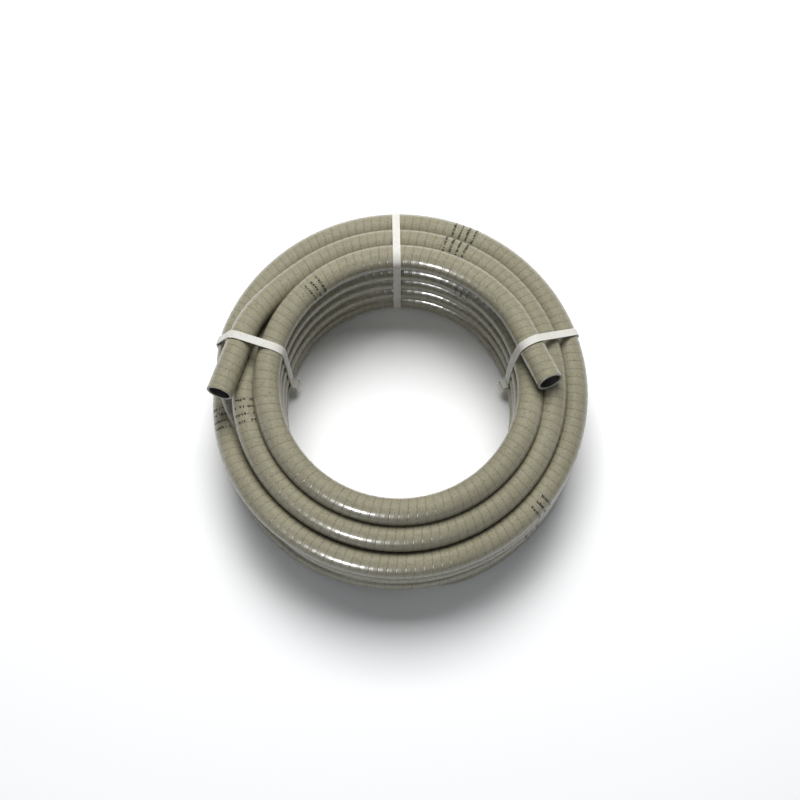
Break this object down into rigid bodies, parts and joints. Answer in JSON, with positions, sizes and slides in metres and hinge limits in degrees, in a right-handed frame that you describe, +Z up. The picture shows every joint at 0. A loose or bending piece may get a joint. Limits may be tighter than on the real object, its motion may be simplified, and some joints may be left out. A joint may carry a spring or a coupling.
{
  "type": "hose coil",
  "caption": "Coil of smooth, spiral-reinforced waste hose lying flat, with two open free ends on top, tied up with three nylon cable ties",
  "frame": {"origin": "on the surface that the coil lies on, under the middle of the whole part; the coil's own axis is 5.75 mm in front of it, because the top tie's head stands out at the back", "axes": "+Z up along the coil's axis, +Y towards the tie that holds no free end, +X towards the free end of the innermost turn"},
  "size_m": [0.447, 0.4585, 0.1713],
  "materials": {
    "hose": "gloss",
    "tie": "satin"
  },
  "bodies": {
    "bundle": {"hose_coil": "hose", "hose_end_right": "hose", "hose_end_left": "hose", "tie_strap_top": "tie", "tie_head_top": "tie", "tie_strap_right": "tie", "tie_head_right": "tie", "tie_strap_left": "tie", "tie_head_left": "tie"},
    "pawl_top": {"tie_pawl_top": "tie"},
    "pawl_right": {"tie_pawl_right": "tie"},
    "pawl_left": {"tie_pawl_left": "tie"}
  },
  "joints": [
    {"name": "pawl_top_hinge", "type": "hinge", "parent": "bundle", "child": "pawl_top", "pos_m": [-0.00395, 0.22032, 0.0523], "axis": [0.9998, 0.0174, 0], "range_deg": [0, 12], "stiffness_Nm_per_rad": 0.05},
    {"name": "pawl_right_hinge", "type": "hinge", "parent": "bundle", "child": "pawl_right", "pos_m": [0.13251, 0.02583, 0.0263], "axis": [-0.4226, 0.9063, 0], "range_deg": [0, 12], "stiffness_Nm_per_rad": 0.05},
    {"name": "pawl_left_hinge", "type": "hinge", "parent": "bundle", "child": "pawl_left", "pos_m": [-0.13192, 0.02699, 0.0223], "axis": [-0.2924, -0.9563, 0], "range_deg": [0, 12], "stiffness_Nm_per_rad": 0.05}
  ]
}
